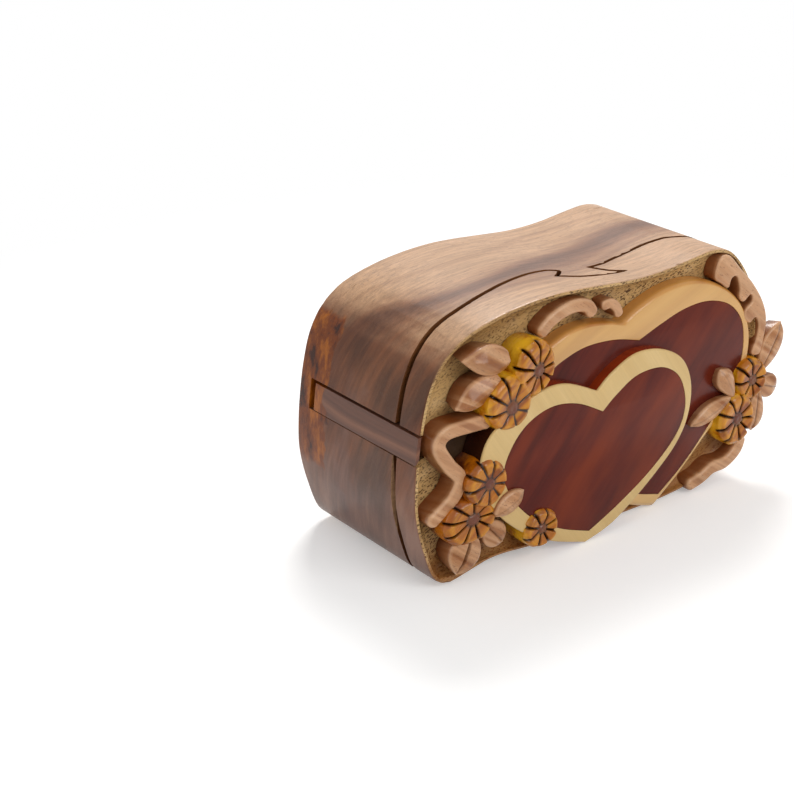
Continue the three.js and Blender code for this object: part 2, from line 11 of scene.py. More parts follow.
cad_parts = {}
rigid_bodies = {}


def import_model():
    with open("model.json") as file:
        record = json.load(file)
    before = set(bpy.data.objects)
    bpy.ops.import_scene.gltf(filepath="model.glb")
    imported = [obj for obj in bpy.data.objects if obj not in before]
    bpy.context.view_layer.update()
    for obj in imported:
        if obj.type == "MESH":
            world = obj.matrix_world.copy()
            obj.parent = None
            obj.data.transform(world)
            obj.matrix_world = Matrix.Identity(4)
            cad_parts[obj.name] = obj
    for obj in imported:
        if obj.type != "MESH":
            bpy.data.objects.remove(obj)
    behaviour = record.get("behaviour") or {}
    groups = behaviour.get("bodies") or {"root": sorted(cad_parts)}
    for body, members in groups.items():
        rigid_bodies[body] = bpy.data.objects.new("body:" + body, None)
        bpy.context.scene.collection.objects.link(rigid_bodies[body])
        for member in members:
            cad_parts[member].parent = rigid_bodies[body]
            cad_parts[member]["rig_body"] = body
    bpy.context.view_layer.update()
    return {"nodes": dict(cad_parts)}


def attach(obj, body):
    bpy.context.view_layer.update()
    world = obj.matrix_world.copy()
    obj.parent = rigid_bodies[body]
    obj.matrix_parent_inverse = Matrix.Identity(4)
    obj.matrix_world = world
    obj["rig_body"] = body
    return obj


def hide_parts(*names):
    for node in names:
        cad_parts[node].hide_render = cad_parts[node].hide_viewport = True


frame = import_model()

random.seed(7)

# Millimetres of the part's layout: y = 0 on the front rim, growing to the back
ORIGIN = (-6.716, -33.548, 1.2)
FLOOR_Y = 4.7
LEAF_BACK = 4.62
RIBBON_BACK = 4.66
RIM_WIDTH = 1.2
RIM_ROUND = 0.7
DISH_DEPTH = 5.0
LID_BACK = 30
SKIN = 1.2
LEAST_WALL = 10
BODY_BACK = 67.9
PANEL_FRONT = 68.2

# The glue seam between body and panel, closed to this depth on either side
BODY_SEAM = 68.04
PANEL_SEAM = 68.06

# How far the saw cut's outer edges lean back, and how it fades towards the underside
OPEN_CUT = 0.36
CUT_LEAST_SHARE = 0.25
CUT_FADE_LOW = 4
CUT_FADE_HEIGHT = 24

# The saw cut lies behind this depth, and reaches the outside within this distance
CUT_FRONT = 9
CUT_REACH = 1.0

# Edges of the solids: flat regions are joined below the first angle, rounded above the second
FLAT_ANGLE = 0.6
SHARP_ANGLE = 34
WELD_SOLID = 2e-6
WELD_PIECE = 2e-7


def to_frame(p):
    return Vector([(p[i] + ORIGIN[i]) / 1000 for i in range(3)])


# Outlines
def closed_curve(points, steps):
    """Centripetal Catmull-Rom loop through the points, equally stepped between them."""
    pts = [Vector(p) for p in points]
    n = len(pts)
    out = []
    for i in range(n):
        p0, p1, p2, p3 = (pts[(i + k - 1) % n] for k in range(4))
        d = [max((b - a).length ** 0.5, 1e-4) for a, b in ((p0, p1), (p1, p2), (p2, p3))]
        m1 = ((p1 - p0) / d[0] - (p2 - p0) / (d[0] + d[1]) + (p2 - p1) / d[1]) * d[1]
        m2 = ((p2 - p1) / d[1] - (p3 - p1) / (d[1] + d[2]) + (p3 - p2) / d[2]) * d[1]
        for k in range(steps):
            t = k / steps
            a = 2 * t ** 3 - 3 * t ** 2 + 1
            b = t ** 3 - 2 * t ** 2 + t
            c = -2 * t ** 3 + 3 * t ** 2
            e = t ** 3 - t ** 2
            out.append(p1 * a + m1 * b + p2 * c + m2 * e)
    return out


def open_curve(points, count):
    """Uniform Catmull-Rom line through the points, as count evenly spaced points."""
    pts = [Vector(p) for p in points]
    dense = []
    for i in range(len(pts) - 1):
        p0, p1, p2 = pts[max(i - 1, 0)], pts[i], pts[i + 1]
        p3 = pts[min(i + 2, len(pts) - 1)]
        for k in range(16):
            t = k / 16
            dense.append(0.5 * (2 * p1 + (p2 - p0) * t + (2 * p0 - 5 * p1 + 4 * p2 - p3) * t * t
                                + (3 * p1 - p0 - 3 * p2 + p3) * t ** 3))
    dense.append(pts[-1])
    lengths = [0.0]
    for a, b in zip(dense, dense[1:]):
        lengths.append(lengths[-1] + (b - a).length)
    out = []
    j = 0
    for k in range(count):
        want = lengths[-1] * k / (count - 1)
        while j < len(lengths) - 2 and lengths[j + 1] < want:
            j += 1
        share = (want - lengths[j]) / max(lengths[j + 1] - lengths[j], 1e-9)
        out.append(dense[j].lerp(dense[j + 1], min(max(share, 0), 1)))
    return out


def area(loop):
    return 0.5 * sum(a.x * b.y - b.x * a.y for a, b in zip(loop, loop[1:] + loop[:1]))


def offset(loop, distance):
    """Moves a loop outwards by a distance, or inwards by a negative one."""
    turn = math.copysign(1, area(loop))
    out = []
    n = len(loop)
    for i in range(n):
        a = (loop[i] - loop[i - 1]).normalized()
        b = (loop[(i + 1) % n] - loop[i]).normalized()
        normal = Vector(((a.y + b.y) * turn, -(a.x + b.x) * turn))
        size = max(normal.length, 1e-6)
        out.append(loop[i] + normal * (distance * min(2 / size, 1.6) / size))
    return out


BLOCK = closed_curve([
    (-68.7, 0), (-74.6, 3), (-79.6, 16.8), (-82, 31), (-81.4, 43), (-79.6, 55),
    (-77.2, 66), (-73.6, 76.5), (-67.8, 85), (-59.1, 91.2), (-47, 94.8), (-33, 96.8),
    (-19, 97.3), (-6, 96.4), (8, 94.7), (22, 93.3), (36, 93.3), (50, 94.6),
    (60, 95), (68, 92.3), (75, 84.6), (79.6, 75), (82, 63), (82.3, 51),
    (81.2, 38), (78.4, 23.5), (72.6, 11.2), (61.5, 4.2), (47.4, 1.2), (32, 0),
    (17, 0.2), (3, 0.4), (-12, 0.2), (-23, 0.6), (-35.6, 2.2), (-47.6, 3.2), (-59, 2),
], 6)


def nearest_edge(x, z):
    """Nearest spot on the block's outline, the way in from there, and how far in (x, z) lies."""
    p = Vector((x, z))
    best = None
    for a, b in zip(BLOCK, BLOCK[1:] + BLOCK[:1]):
        near, share = geometry.intersect_point_line(p, a, b)
        near = a if share < 0 else b if share > 1 else near
        if best is None or (near - p).length < best[0]:
            best = ((near - p).length, near, b - a)
    inwards = Vector((best[2].y, -best[2].x)).normalized() * -math.copysign(1, area(BLOCK))
    return best[1], inwards, (p - best[1]).dot(inwards)


def edge_distance(x, z):
    spot = nearest_edge(x, z)[0]
    return (spot - Vector((x, z))).length


# Materials
def srgb(r, g, b):
    def one(c):
        c /= 255
        return c / 12.92 if c <= 0.04045 else ((c + 0.055) / 1.055) ** 2.4
    return (one(r), one(g), one(b), 1)


class Nodes:
    """The node tree of a material or world, with short calls for the nodes used here."""

    def __init__(self, owner):
        self.owner = owner
        owner.use_nodes = True
        self.tree = owner.node_tree
        self.tree.nodes.clear()

    def add(self, kind, inputs=None, **settings):
        node = self.tree.nodes.new(kind)
        for key, value in settings.items():
            setattr(node, key, value)
        for key, value in (inputs or {}).items():
            self.put(node, key, value)
        return node

    def put(self, node, key, value):
        if isinstance(value, bpy.types.NodeSocket):
            self.tree.links.new(value, node.inputs[key])
        else:
            node.inputs[key].default_value = value

    def math(self, operation, a, b=0.0, clamp=False):
        return self.add("ShaderNodeMath", {0: a, 1: b}, operation=operation,
                        use_clamp=clamp).outputs[0]

    def coords(self, scale=(1, 1, 1), turn=(0, 0, 0), shift=(0, 0, 0)):
        place = self.add("ShaderNodeTexCoord").outputs["Object"]
        first = self.add("ShaderNodeMapping", {
            "Vector": place, "Scale": (1000, 1000, 1000), "Rotation": turn})
        return self.add("ShaderNodeMapping", {
            "Vector": first.outputs[0], "Scale": scale, "Location": shift}).outputs[0]

    def noise(self, vector, scale, detail, rough):
        return self.add("ShaderNodeTexNoise", {
            "Vector": vector, "Scale": scale, "Detail": detail, "Roughness": rough}).outputs["Fac"]

    def ramp(self, value, stops, mode="EASE"):
        node = self.add("ShaderNodeValToRGB", {"Fac": value})
        ramp = node.color_ramp
        ramp.interpolation = mode
        while len(ramp.elements) < len(stops):
            ramp.elements.new(0.5)
        for element, (place, colour) in zip(ramp.elements, stops):
            element.position = place
            element.color = colour
        return node.outputs["Color"]

    def step(self, value, low, high, to_low=0.0, to_high=1.0):
        return self.add("ShaderNodeMapRange", {
            "Value": value, "From Min": low, "From Max": high,
            "To Min": to_low, "To Max": to_high}, interpolation_type="SMOOTHSTEP").outputs[0]

    def mix(self, share, a, b, blend="MIX"):
        return self.add("ShaderNodeMix", {0: share, 6: a, 7: b}, data_type="RGBA",
                        blend_type=blend).outputs[2]

    def split(self, vector):
        return self.add("ShaderNodeSeparateXYZ", {0: vector}).outputs

    def normal(self):
        return self.split(self.add("ShaderNodeNewGeometry").outputs["Normal"])

    def length(self, vector):
        return self.add("ShaderNodeVectorMath", {0: vector}, operation="LENGTH").outputs["Value"]

    def field(self, name):
        return self.add("ShaderNodeAttribute", attribute_name=name).outputs["Fac"]

    def finish(self, colour, rough, height, bump, coat, coat_rough, gloss):
        relief = self.add("ShaderNodeBump", {
            "Height": height, "Strength": bump, "Distance": 0.0003})
        surface = self.add("ShaderNodeBsdfPrincipled", {
            "Normal": relief.outputs[0],
            "Base Color": colour, "Roughness": rough, "Coat Weight": coat,
            "Coat Roughness": coat_rough, "IOR": 1.5, "Specular IOR Level": gloss})
        self.add("ShaderNodeOutputMaterial", {0: surface.outputs[0]})
        return self.owner


def grey(level):
    return (level, level, level, 1)


def ring_bands(n, turn, centre, size, warp, seed, detail):
    """0..1 over growth bands that run along local x round a far centre line."""
    flat = n.coords(scale=(0, 1, 1), turn=turn, shift=(0, -centre[0], -centre[1]))
    slow = n.coords(scale=(0.009, 0.022, 0.022), turn=turn, shift=(seed, 0, 0))
    wander = n.noise(slow, 1, 1, 0.4)
    moved = n.math("ADD", n.math("DIVIDE", n.length(flat), size), n.math("MULTIPLY", wander, warp))
    return n.add("ShaderNodeTexNoise", {
        "W": moved, "Scale": 1.0, "Detail": detail, "Roughness": 0.5},
        noise_dimensions="1D").outputs["Fac"]


def wood(name, stops, turn=(0, 0, 0), centre=(-40, -60), size=9.0, warp=5.0, seed=0.0,
         fibre=0.16, pore=None, pore_share=0.35, pore_size=(0.28, 2.4, 2.4), pore_cut=(0.62, 0.68),
         rough=0.36, coat=0.1, coat_rough=0.12, bump=0.25, detail=2.0, gloss=0.25,
         extra=None):
    """Varnished wood: growth bands, fine fibre and open pores along local x."""
    n = Nodes(bpy.data.materials.new(name))
    bands = ring_bands(n, turn, centre, size, warp, seed, detail)
    colour = n.ramp(bands, stops, "LINEAR")
    thin = n.noise(n.coords(scale=(0.022, 0.8, 0.8), turn=turn, shift=(seed, 3, 5)), 1, 5, 0.62)
    hair = n.noise(n.coords(scale=(0.16, 5.0, 5.0), turn=turn, shift=(seed, 1, 2)), 1, 2, 0.5)
    tone = n.math("ADD", n.math("MULTIPLY", thin, 0.65), n.math("MULTIPLY", hair, 0.35))
    shade = n.ramp(tone, [(0.3, grey(1 - fibre * 1.6)), (0.7, grey(1.0))], "LINEAR")
    colour = n.mix(1.0, colour, shade, "MULTIPLY")
    pores = n.noise(n.coords(scale=pore_size, turn=turn, shift=(seed, 7, 11)), 1, 2, 0.5)
    holes = n.step(pores, *pore_cut)
    if pore:
        crowd = n.noise(n.coords(scale=(0.02, 0.05, 0.05), turn=turn), 1, 2, 0.5)
        holes = n.math("MULTIPLY", holes, n.step(crowd, 0.3, 0.6, 0.35, 1.0))
        colour = n.mix(n.math("MULTIPLY", holes, pore_share), colour, pore)
    if extra:
        colour = extra(n, colour)
    dull = n.math("ADD", n.math("MULTIPLY", tone, -0.12), rough + 0.06)
    height = n.math("SUBTRACT", n.math("MULTIPLY", tone, 0.35), holes)
    return n.finish(colour, dull, height, bump, coat, coat_rough, gloss)


TAN = srgb(206, 162, 124)


def sapwood(n, colour):
    """Orange sapwood on the left end near the back, with a ragged edge."""
    place = n.split(n.coords())
    wander = n.noise(n.coords(scale=(0.08, 0.08, 0.08)), 1, 3, 0.6)
    back = n.step(n.math("ADD", place[1], n.math("MULTIPLY", wander, 16)), 31, 32.6)
    end = n.step(n.math("ADD", place[0], n.math("MULTIPLY", wander, 6)), -70.5, -72.5)
    above = n.step(n.math("ADD", place[2], n.math("MULTIPLY", wander, 12)), 33, 38)
    mask = n.math("MULTIPLY", n.math("MULTIPLY", back, end), above)
    blotch = n.noise(n.coords(scale=(0.16, 0.16, 0.07)), 1, 4, 0.65)
    orange = n.ramp(blotch, [
        (0.34, srgb(60, 24, 6)), (0.48, srgb(118, 56, 10)), (0.66, srgb(170, 96, 24))])
    return n.mix(mask, colour, orange)


def block_end(n, colour):
    """The left and right ends are browner than the top: partly because the long fibres end there,
    partly painted shade.
    """
    side = n.math("ABSOLUTE", n.normal()[0])
    height = n.split(n.coords())[2]
    cloud = n.noise(n.coords(scale=(0.05, 0.03, 0.02)), 1, 2, 0.5)
    streak = n.noise(n.coords(scale=(0.05, 0.26, 0.034), turn=(math.radians(-20), 0, 0)), 1, 4, 0.6)
    tone = n.math("ADD", n.math("MULTIPLY", cloud, 0.62), n.math("MULTIPLY", streak, 0.38))
    warm = n.ramp(tone, [
        (0.38, srgb(78, 42, 24)), (0.5, srgb(118, 68, 40)), (0.62, srgb(150, 92, 56))], "LINEAR")
    mauve = n.ramp(tone, [
        (0.36, srgb(76, 50, 42)), (0.5, srgb(110, 76, 64)), (0.64, srgb(144, 106, 90))], "LINEAR")
    patch = n.noise(n.coords(scale=(0.05, 0.07, 0.05), shift=(3, 1, 4)), 1, 2, 0.5)
    ragged = n.math("ADD", height, n.math("MULTIPLY", patch, 110))
    brown = n.mix(n.step(ragged, 74, 122), mauve, warm)
    # Faces turned sideways take the browner end colour: end grain together with painted shade.
    share = n.step(side, 0.4, 0.85, 0.0, 0.92)
    return sapwood(n, n.mix(share, colour, brown))


block_wood = wood(
    "block_wood",
    [(0.3, srgb(122, 82, 60)), (0.4, srgb(160, 114, 84)), (0.5, TAN), (0.62, srgb(214, 170, 132)),
     (0.74, srgb(168, 124, 94))],
    centre=(-90, 40), size=24, warp=2.2, seed=1.0, fibre=0.34, pore=srgb(84, 48, 32),
    pore_share=0.5, detail=3.0, gloss=0.16, extra=block_end)
cut_wood = wood(
    "cut_wood", [(0.3, srgb(104, 60, 30)), (0.5, srgb(124, 76, 40)), (0.7, srgb(140, 90, 52))],
    centre=(-90, 40), size=16, warp=2, rough=0.62, coat=0.0, bump=0.35, fibre=0.3, gloss=0.15)
inner_wood = wood(
    "inner_wood",
    [(0.3, srgb(160, 118, 84)), (0.5, srgb(184, 142, 104)), (0.7, srgb(198, 158, 120))],
    centre=(-90, 40), size=18, warp=2, rough=0.6, coat=0.0, pore=srgb(96, 62, 48), bump=0.35,
    fibre=0.26, gloss=0.15)


def foot_brown_and_corner_shade(n, colour):
    """Brown along the foot of the dish, and painted shade: dark in the deep corner between ribbon
    and heart.
    """
    cloud = n.noise(n.coords(scale=(0.09, 0.09, 0.09), shift=(2, 5, 1)), 1, 2, 0.5)
    height = n.math("ADD", n.split(n.coords())[2], n.math("MULTIPLY", cloud, 24))
    colour = n.mix(n.step(height, 36, 18, 0.0, 0.7), colour, srgb(146, 86, 32))
    # Painted shade: a dark patch in the deep corner between the ribbon and the heart.
    across, up = 15, 19
    spot = n.coords(scale=(1 / across, 0, 1 / up),
                    shift=((54 - ORIGIN[0]) / across, 0, -(46 + ORIGIN[2]) / up))
    wander = n.noise(n.coords(scale=(0.12, 0.12, 0.12)), 1, 2, 0.5)
    ragged = n.math("ADD", n.length(spot), n.math("MULTIPLY", wander, 0.3))
    return n.mix(n.step(ragged, 1.25, 0.85, 0.0, 0.95), colour, srgb(40, 16, 5))


dish_wood = wood(
    "dish_wood",
    [(0.34, srgb(178, 138, 86)), (0.5, srgb(206, 167, 110)), (0.68, srgb(224, 187, 132))],
    turn=(0, math.radians(14), 0), size=14, warp=2, fibre=0.16, pore=srgb(64, 32, 10),
    pore_share=0.95, pore_size=(0.75, 2.0, 2.0), pore_cut=(0.53, 0.6), rough=0.42, coat=0.1,
    bump=0.35, extra=foot_brown_and_corner_shade)


def back_shade(n, colour):
    """The panel browns slowly towards its foot."""
    cloud = n.noise(n.coords(scale=(0.012, 0.02, 0.02)), 1, 2, 0.5)
    height = n.math("ADD", n.split(n.coords())[2], n.math("MULTIPLY", cloud, 40))
    return n.mix(n.step(height, 62, 18, 0.0, 0.55), colour, srgb(112, 60, 16))


back_wood = wood(
    "back_wood",
    [(0.3, srgb(138, 80, 18)), (0.46, srgb(170, 104, 26)), (0.6, srgb(184, 118, 34)),
     (0.76, srgb(158, 94, 24))],
    turn=(0, math.radians(-4), 0), centre=(-200, -40), size=3.5, warp=3, seed=4.0, fibre=0.3,
    detail=3.0, pore=srgb(84, 44, 12), pore_share=0.7, pore_size=(0.07, 1.5, 1.5),
    pore_cut=(0.57, 0.66), rough=0.34, coat=0.12, extra=back_shade)
key_wood = wood(
    "key_wood",
    [(0.34, srgb(86, 54, 42)), (0.55, srgb(120, 78, 60)), (0.7, srgb(142, 96, 72))],
    turn=(0, 0, math.radians(90)), size=7, warp=3, pore=srgb(54, 30, 22), rough=0.38, coat=0.1,
    extra=sapwood)


def honey_shade(n, colour):
    """The rear border is palest on its front and towards its lower tip."""
    height = n.split(n.coords())[2]
    ahead = n.math("ABSOLUTE", n.normal()[1])
    pale = n.math("MAXIMUM", n.step(height, 60, 34), n.step(ahead, 0.8, 0.98, 0.0, 0.55))
    return n.mix(n.math("MULTIPLY", pale, 0.85), colour, srgb(222, 184, 124))


honey_wood = wood(
    "honey_wood",
    [(0.32, srgb(188, 124, 56)), (0.5, srgb(206, 146, 74)), (0.68, srgb(218, 162, 90))],
    turn=(0, math.radians(20), 0), size=12, warp=2, seed=2.0, fibre=0.1, rough=0.22, coat=0.3,
    coat_rough=0.06, bump=0.08, extra=honey_shade)
cream_wood = wood(
    "cream_wood",
    [(0.3, srgb(213, 179, 118)), (0.5, srgb(217, 184, 123)), (0.7, srgb(221, 189, 129))],
    turn=(0, math.radians(-58), 0), size=9, warp=3, seed=3.0, fibre=0.08, rough=0.24, coat=0.25,
    coat_rough=0.08, bump=0.08)


def red_streaks(n, colour):
    """Soft lighter clouds in the dark heart wood."""
    slow = n.coords(scale=(0.014, 0.05, 0.05), turn=(0, math.radians(46), 0))
    return n.mix(n.step(n.noise(slow, 1, 3, 0.6), 0.38, 0.7, 0.0, 0.6), colour, srgb(134, 52, 18))


dark_wood = wood(
    "dark_wood",
    [(0.3, srgb(80, 24, 16)), (0.46, srgb(92, 28, 18)), (0.6, srgb(102, 34, 20)),
     (0.74, srgb(86, 26, 16))],
    turn=(0, math.radians(46), 0), centre=(-90, -30), size=9, warp=2, seed=5.0, fibre=0.2,
    pore=srgb(44, 12, 8), pore_share=0.35, pore_size=(0.1, 1.4, 1.4), rough=0.24, coat=0.05,
    coat_rough=0.08, bump=0.05, gloss=0.16, extra=red_streaks)


def wall_shade(n, colour):
    """The heart's flank is red where it stands free; towards the left corner it is painted dark
    brown as painted shade.
    """
    across = n.split(n.coords())[0]
    # Painted shade: dark brown over the flank's left part.
    return n.mix(n.step(across, -28, -46), colour, srgb(52, 22, 8))


wall_wood = wood(
    "wall_wood",
    [(0.3, srgb(112, 34, 10)), (0.55, srgb(150, 52, 14)), (0.75, srgb(124, 40, 12))],
    turn=(0, math.radians(46), 0), size=6, warp=5, fibre=0.12, rough=0.22, coat=0.3, bump=0.06,
    extra=wall_shade)


def burn_shade_and_highlight(dark, lit, lit_share=0.45):
    """Charred grooves, painted shade at the feet of flanks and painted highlights along the edges,
    from the piece's own fields.
    """
    def change(n, colour):
        # Painted highlight: the lit colour laid over the edge field.
        colour = n.mix(n.math("MULTIPLY", n.field("edge"), lit_share, clamp=True), colour, lit)
        speck = n.noise(n.coords(scale=(0.7, 0.7, 0.7)), 1, 3, 0.6)
        # Charred grooves, and painted shade where the field darkens the feet of flanks.
        share = n.math("MULTIPLY", n.field("burn_and_shade"), n.step(speck, 0.2, 0.5, 0.75, 1.0), clamp=True)
        return n.mix(share, colour, dark)
    return change


def leaf_colour(n, colour):
    """Orange-brown painted shade down the flanks of leaves and ribbons, then charred grooves and
    painted highlights.
    """
    # Painted shade: orange-brown over the flank field.
    colour = n.mix(n.math("MULTIPLY", n.field("flank"), 0.9, clamp=True), colour, srgb(118, 58, 16))
    return burn_shade_and_highlight(srgb(62, 28, 12), srgb(226, 182, 142), 0.5)(n, colour)


def petal_colour(n, colour):
    """Yellow flanks, painted brown as shade on the lower left flowers; browner petals towards a
    purple-brown middle.
    """
    face = n.field("face")
    cloud = n.noise(n.coords(scale=(0.15, 0.15, 0.15)), 1, 3, 0.6)
    flank = n.ramp(cloud, [(0.35, srgb(196, 116, 8)), (0.6, srgb(246, 188, 38))])
    lower_flank_shade = n.ramp(cloud, [(0.4, srgb(104, 42, 4)), (0.58, srgb(186, 104, 10))])
    place = n.split(n.coords())
    # Painted shade: the flanks of the lower left flowers turn brown.
    corner = n.math("MULTIPLY", n.step(place[2], 58, 50), n.step(place[0], -46, -50))
    flank = n.mix(corner, flank, lower_flank_shade)
    colour = n.mix(face, flank, colour)
    middle = n.math("MULTIPLY", n.field("middle"), 0.85, clamp=True)
    colour = n.mix(middle, colour, srgb(92, 46, 36))
    return burn_shade_and_highlight(srgb(34, 12, 4), srgb(224, 158, 52), 0.4)(n, colour)


petal_wood = wood(
    "petal_wood",
    [(0.3, srgb(146, 74, 10)), (0.5, srgb(186, 108, 16)), (0.7, srgb(208, 136, 26))],
    turn=(0, math.radians(35), 0), size=4, warp=4, seed=6.0, fibre=0.16, rough=0.28, coat=0.3,
    coat_rough=0.1, bump=0.15, extra=petal_colour)
leaf_wood = wood(
    "leaf_wood",
    [(0.3, srgb(158, 98, 54)), (0.48, srgb(196, 142, 98)), (0.62, srgb(214, 164, 122)),
     (0.76, srgb(172, 112, 68))],
    turn=(0, math.radians(-40), 0), size=6, warp=4, seed=8.0, fibre=0.2, pore=srgb(120, 70, 44),
    pore_share=0.7, pore_size=(0.5, 2.6, 2.6), rough=0.3, coat=0.2, coat_rough=0.12, bump=0.2,
    extra=leaf_colour)


# Pieces
def piece(name, points, faces, material, body, nodes, fields=None, sharp=38):
    """A carved piece that rides the named body, in place of the named nodes."""
    mesh = bpy.data.meshes.new(name + "_carved")
    mesh.from_pydata([to_frame(p) for p in points], [], faces)
    mesh.validate()
    mesh.materials.append(material)
    plain = [0.0] * len(points)
    for field, values in {"edge": plain, "burn_and_shade": plain, **(fields or {})}.items():
        layer = mesh.attributes.new(field, "FLOAT", "POINT")
        layer.data.foreach_set("value", np.array(values, np.float32))
    mesh.polygons.foreach_set("use_smooth", [True] * len(mesh.polygons))
    mesh.set_sharp_from_angle(angle=math.radians(sharp))
    work = bmesh.new()
    work.from_mesh(mesh)
    bmesh.ops.remove_doubles(work, verts=work.verts, dist=WELD_PIECE)
    bmesh.ops.recalc_face_normals(work, faces=work.faces)
    work.to_mesh(mesh)
    work.free()
    item = bpy.data.objects.new(name + "_carved", mesh)
    bpy.context.scene.collection.objects.link(item)
    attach(item, body)
    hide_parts(*nodes)
    return item


def ring_faces(rows, count, closed=True):
    faces = []
    for r in range(rows - 1):
        for k in range(count if closed else count - 1):
            a = r * count + k
            b = r * count + (k + 1) % count
            faces.append((a, b, b + count, a + count))
    return faces


def plan(co):
    return co.x * 1000 - ORIGIN[0], co.z * 1000 - ORIGIN[2]


def round_outline(work, reach=2.0, cuts=2):
    """Adds vertices to the straight sides near the outline and sets them on the smooth curve."""
    shortest, longest, sag = 0.0005, 0.012, 0.6
    found = {}
    for vert in work.verts:
        depth = nearest_edge(*plan(vert.co))[2]
        if depth < reach:
            found[vert] = depth
    sides = []
    for edge in work.edges:
        a, b = edge.verts
        span = Vector((a.co.x - b.co.x, a.co.z - b.co.z)).length
        if a in found and b in found and shortest < span < longest:
            if nearest_edge(*plan((a.co + b.co) / 2))[2] < reach + sag:
                sides.append(edge)
    old = set(work.verts)
    spans = [(a.co.copy(), b.co.copy(), found[a], found[b]) for a, b in (e.verts for e in sides)]
    bmesh.ops.subdivide_edges(work, edges=sides, cuts=cuts, use_grid_fill=True)

    def key(spot):
        return tuple(round(c * 1e5) for c in spot)

    places = {}
    for a, b, depth_a, depth_b in spans:
        for k in range(1, cuts + 1):
            share = k / (cuts + 1)
            places[key(a.lerp(b, share))] = depth_a + (depth_b - depth_a) * share
    for vert in work.verts:
        if vert in old or key(vert.co) not in places:
            continue
        near, inwards, _ = nearest_edge(*plan(vert.co))
        spot = near + inwards * places[key(vert.co)]
        vert.co.x = (spot.x + ORIGIN[0]) / 1000
        vert.co.z = (spot.y + ORIGIN[2]) / 1000


def lean_back(work, kept, open_cut):
    """Moves the saw cut's outer edge back into the wood, less towards the underside."""
    moves = {}
    for vert in work.verts:
        _, inwards, depth = nearest_edge(*plan(vert.co))
        if vert in kept or depth > CUT_REACH:
            continue
        away = Vector((0, 0, 0))
        for face in vert.link_faces:
            facing = face.normal.x * inwards.x + face.normal.z * inwards.y
            behind = face.calc_center_median().y * 1000 - ORIGIN[1] > CUT_FRONT
            if abs(facing) < 0.5 and behind:
                away += face.normal
        away.z = 0
        if away.length > 0.3:
            share = (vert.co.z * 1000 - CUT_FADE_LOW) / CUT_FADE_HEIGHT
            share = min(1.0, max(CUT_LEAST_SHARE, share))
            moves[vert] = away.normalized() * (open_cut * share / 1000)
    for vert, move in moves.items():
        vert.co -= move


def refined(node, chooser, materials, width=0.35, seam=None, open_cut=0.0):
    """A copy of a CAD solid with flat regions joined, small rounded edges and its own woods.

    A seam is (from, to) in depth: edges near it stay sharp and close up to the next piece.
    Sawn faces lean back by open_cut where they reach the outside.
    """
    source = frame["nodes"][node]
    mesh = source.data.copy()
    mesh.name = node + "_fine"
    mesh.materials.clear()
    for material in materials:
        mesh.materials.append(material)
    work = bmesh.new()
    work.from_mesh(mesh)
    bmesh.ops.remove_doubles(work, verts=work.verts, dist=WELD_SOLID)
    bmesh.ops.dissolve_limit(work, angle_limit=math.radians(FLAT_ANGLE), verts=work.verts,
                             edges=work.edges)
    round_outline(work)
    weight = work.edges.layers.float.new("bevel_weight_edge")
    at_seam = set()
    if seam:
        old, new = ((y + ORIGIN[1]) / 1000 for y in seam)
        for vert in work.verts:
            if abs(vert.co.y - old) < 5e-5:
                at_seam.add(vert)
    for edge in work.edges:
        turned = edge.calc_face_angle(0.0) if len(edge.link_faces) == 2 else 0.0
        sharp = turned > math.radians(SHARP_ANGLE)
        if sharp and not (edge.verts[0] in at_seam and edge.verts[1] in at_seam):
            edge[weight] = 1.0
    for vert in at_seam:
        vert.co.y = new
    for face in work.faces:
        face.smooth = True
        c = face.calc_center_median()
        spot = tuple(c[i] * 1000 - ORIGIN[i] for i in range(3))
        face.material_index = chooser(spot, face.normal)
    if open_cut:
        lean_back(work, at_seam, open_cut)
    for edge in work.edges:
        if edge.verts[0] in at_seam and edge.verts[1] in at_seam:
            edge.smooth = False
    work.to_mesh(mesh)
    work.free()
    item = bpy.data.objects.new(node + "_fine", mesh)
    bpy.context.scene.collection.objects.link(item)
    bevel = item.modifiers.new("edges", "BEVEL")
    bevel.width = width / 1000
    bevel.segments = 2
    bevel.limit_method = "WEIGHT"
    bevel.use_clamp_overlap = True
    bevel.miter_outer = "MITER_ARC"
    weighted = item.modifiers.new("shading", "WEIGHTED_NORMAL")
    weighted.keep_sharp = True
    weighted.weight = 80
    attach(item, source["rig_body"])
    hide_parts(node)
    return item


def body_faces(spot, normal):
    """0 on the outside, 1 in the storage space, 2 on the saw cut and in the slots."""
    gap = edge_distance(spot[0], spot[2])
    if gap < SKIN:
        return 0
    return 1 if gap > LEAST_WALL and abs(normal.y) < 0.9 else 2


def lid_faces(spot, normal):
    """0 on the outside, 1 on the rim and the dish, 2 on the saw cut."""
    gap = edge_distance(spot[0], spot[2])
    if gap < RIM_WIDTH and spot[1] < LID_BACK:
        return 0 if normal.y > -0.6 and gap < RIM_ROUND else 1
    return 1 if spot[1] < DISH_DEPTH + 0.3 else 2


def panel_faces(spot, normal):
    """0 on the back face, 1 round the edge."""
    return 0 if normal.y > 0.5 else 1


refined("box_body", body_faces, [block_wood, inner_wood, cut_wood],
        seam=(BODY_BACK, BODY_SEAM), open_cut=OPEN_CUT)
refined("lid", lid_faces, [block_wood, dish_wood, cut_wood], 0.3, open_cut=OPEN_CUT)
refined("back_panel", panel_faces, [back_wood, block_wood], 0.4,
        seam=(PANEL_FRONT, PANEL_SEAM))
refined("key_bar", lambda spot, normal: 0, [key_wood], 0.4)


def quarter(rounding, steps=5):
    """Offsets inwards and drops of a rounded edge, from the flank to the face."""
    out = []
    for k in range(steps + 1):
        a = math.pi / 2 * k / steps
        out.append((rounding * (1 - math.cos(a)), rounding * (1 - math.sin(a))))
    return out


